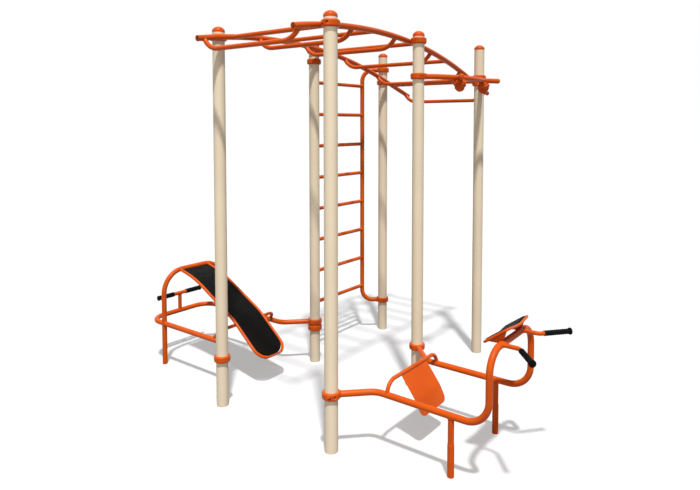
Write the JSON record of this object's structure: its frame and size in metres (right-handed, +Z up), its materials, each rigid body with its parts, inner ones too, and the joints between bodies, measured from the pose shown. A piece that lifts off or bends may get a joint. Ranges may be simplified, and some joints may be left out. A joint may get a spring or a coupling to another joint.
{
  "type": "pull-up and sit-up station",
  "caption": "Park exercise station with tall posts in two rows, an arched overhead ladder, a wall ladder, a bowed pull-up bar, a back-extension bench and a decline sit-up bench.",
  "frame": {"origin": "on the ground at the centre of the front left post's foot", "axes": "+X along a row of posts towards the pull-up bar's bay, +Y from the row with the back-extension bench to the row with the sit-up bench, +Z up"},
  "size_m": [2.7079, 3.5384, 2.7983],
  "materials": {
    "orange_powder_coat": "semi-gloss powder coat, bright orange",
    "sand_powder_coat": "semi-gloss powder coat, pale sand",
    "black_rubber": "matte, lightly ribbed",
    "black_board": "matte"
  },
  "bodies": {
    "root": {"post_front_left": "sand_powder_coat", "post_front_middle": "sand_powder_coat", "post_front_right": "sand_powder_coat", "post_back_left": "sand_powder_coat", "post_back_middle": "sand_powder_coat", "post_back_right": "sand_powder_coat", "rail_clamp_front_left": "orange_powder_coat", "rail_clamp_front_middle": "orange_powder_coat", "rail_clamp_front_right": "orange_powder_coat", "rail_clamp_back_left": "orange_powder_coat", "rail_clamp_back_middle": "orange_powder_coat", "rail_clamp_back_right": "orange_powder_coat", "ladder_clamp_upper_left": "orange_powder_coat", "ladder_clamp_upper_right": "orange_powder_coat", "ladder_clamp_lower_left": "orange_powder_coat", "ladder_clamp_lower_right": "orange_powder_coat", "pull_up_clamp_left": "orange_powder_coat", "pull_up_clamp_right": "orange_powder_coat", "front_bench_clamp_left": "orange_powder_coat", "front_bench_clamp_right": "orange_powder_coat", "rear_bench_clamp_left": "orange_powder_coat", "rear_bench_clamp_right": "orange_powder_coat", "post_cap_front_left": "orange_powder_coat", "post_cap_front_middle": "orange_powder_coat", "post_cap_front_right": "orange_powder_coat", "post_cap_back_left": "orange_powder_coat", "post_cap_back_middle": "orange_powder_coat", "post_cap_back_right": "orange_powder_coat", "rail_front": "orange_powder_coat", "rail_back": "orange_powder_coat", "dipped_rung_1": "orange_powder_coat", "dipped_rung_2": "orange_powder_coat", "dipped_rung_3": "orange_powder_coat", "dipped_rung_4": "orange_powder_coat", "dipped_rung_5": "orange_powder_coat", "dipped_rung_6": "orange_powder_coat", "straight_rung_1": "orange_powder_coat", "straight_rung_2": "orange_powder_coat", "straight_rung_3": "orange_powder_coat", "straight_rung_4": "orange_powder_coat", "straight_rung_5": "orange_powder_coat", "wall_ladder": "orange_powder_coat", "pull_up_bar": "orange_powder_coat", "front_bench_tube": "orange_powder_coat", "front_leg_left": "orange_powder_coat", "front_leg_right": "orange_powder_coat", "ankle_arch": "orange_powder_coat", "hip_pad_tray": "orange_powder_coat", "rear_arch": "orange_powder_coat", "support_arch": "orange_powder_coat", "rear_side_tube_left": "orange_powder_coat", "rear_side_tube_right": "orange_powder_coat", "rear_end_tube": "orange_powder_coat", "board_frame": "orange_powder_coat", "hip_pad": "black_rubber", "handle_grip_left": "black_rubber", "handle_grip_right": "black_rubber", "foot_grip_left": "black_rubber", "foot_grip_right": "black_rubber", "sit_up_board": "black_board"}
  },
  "joints": []
}
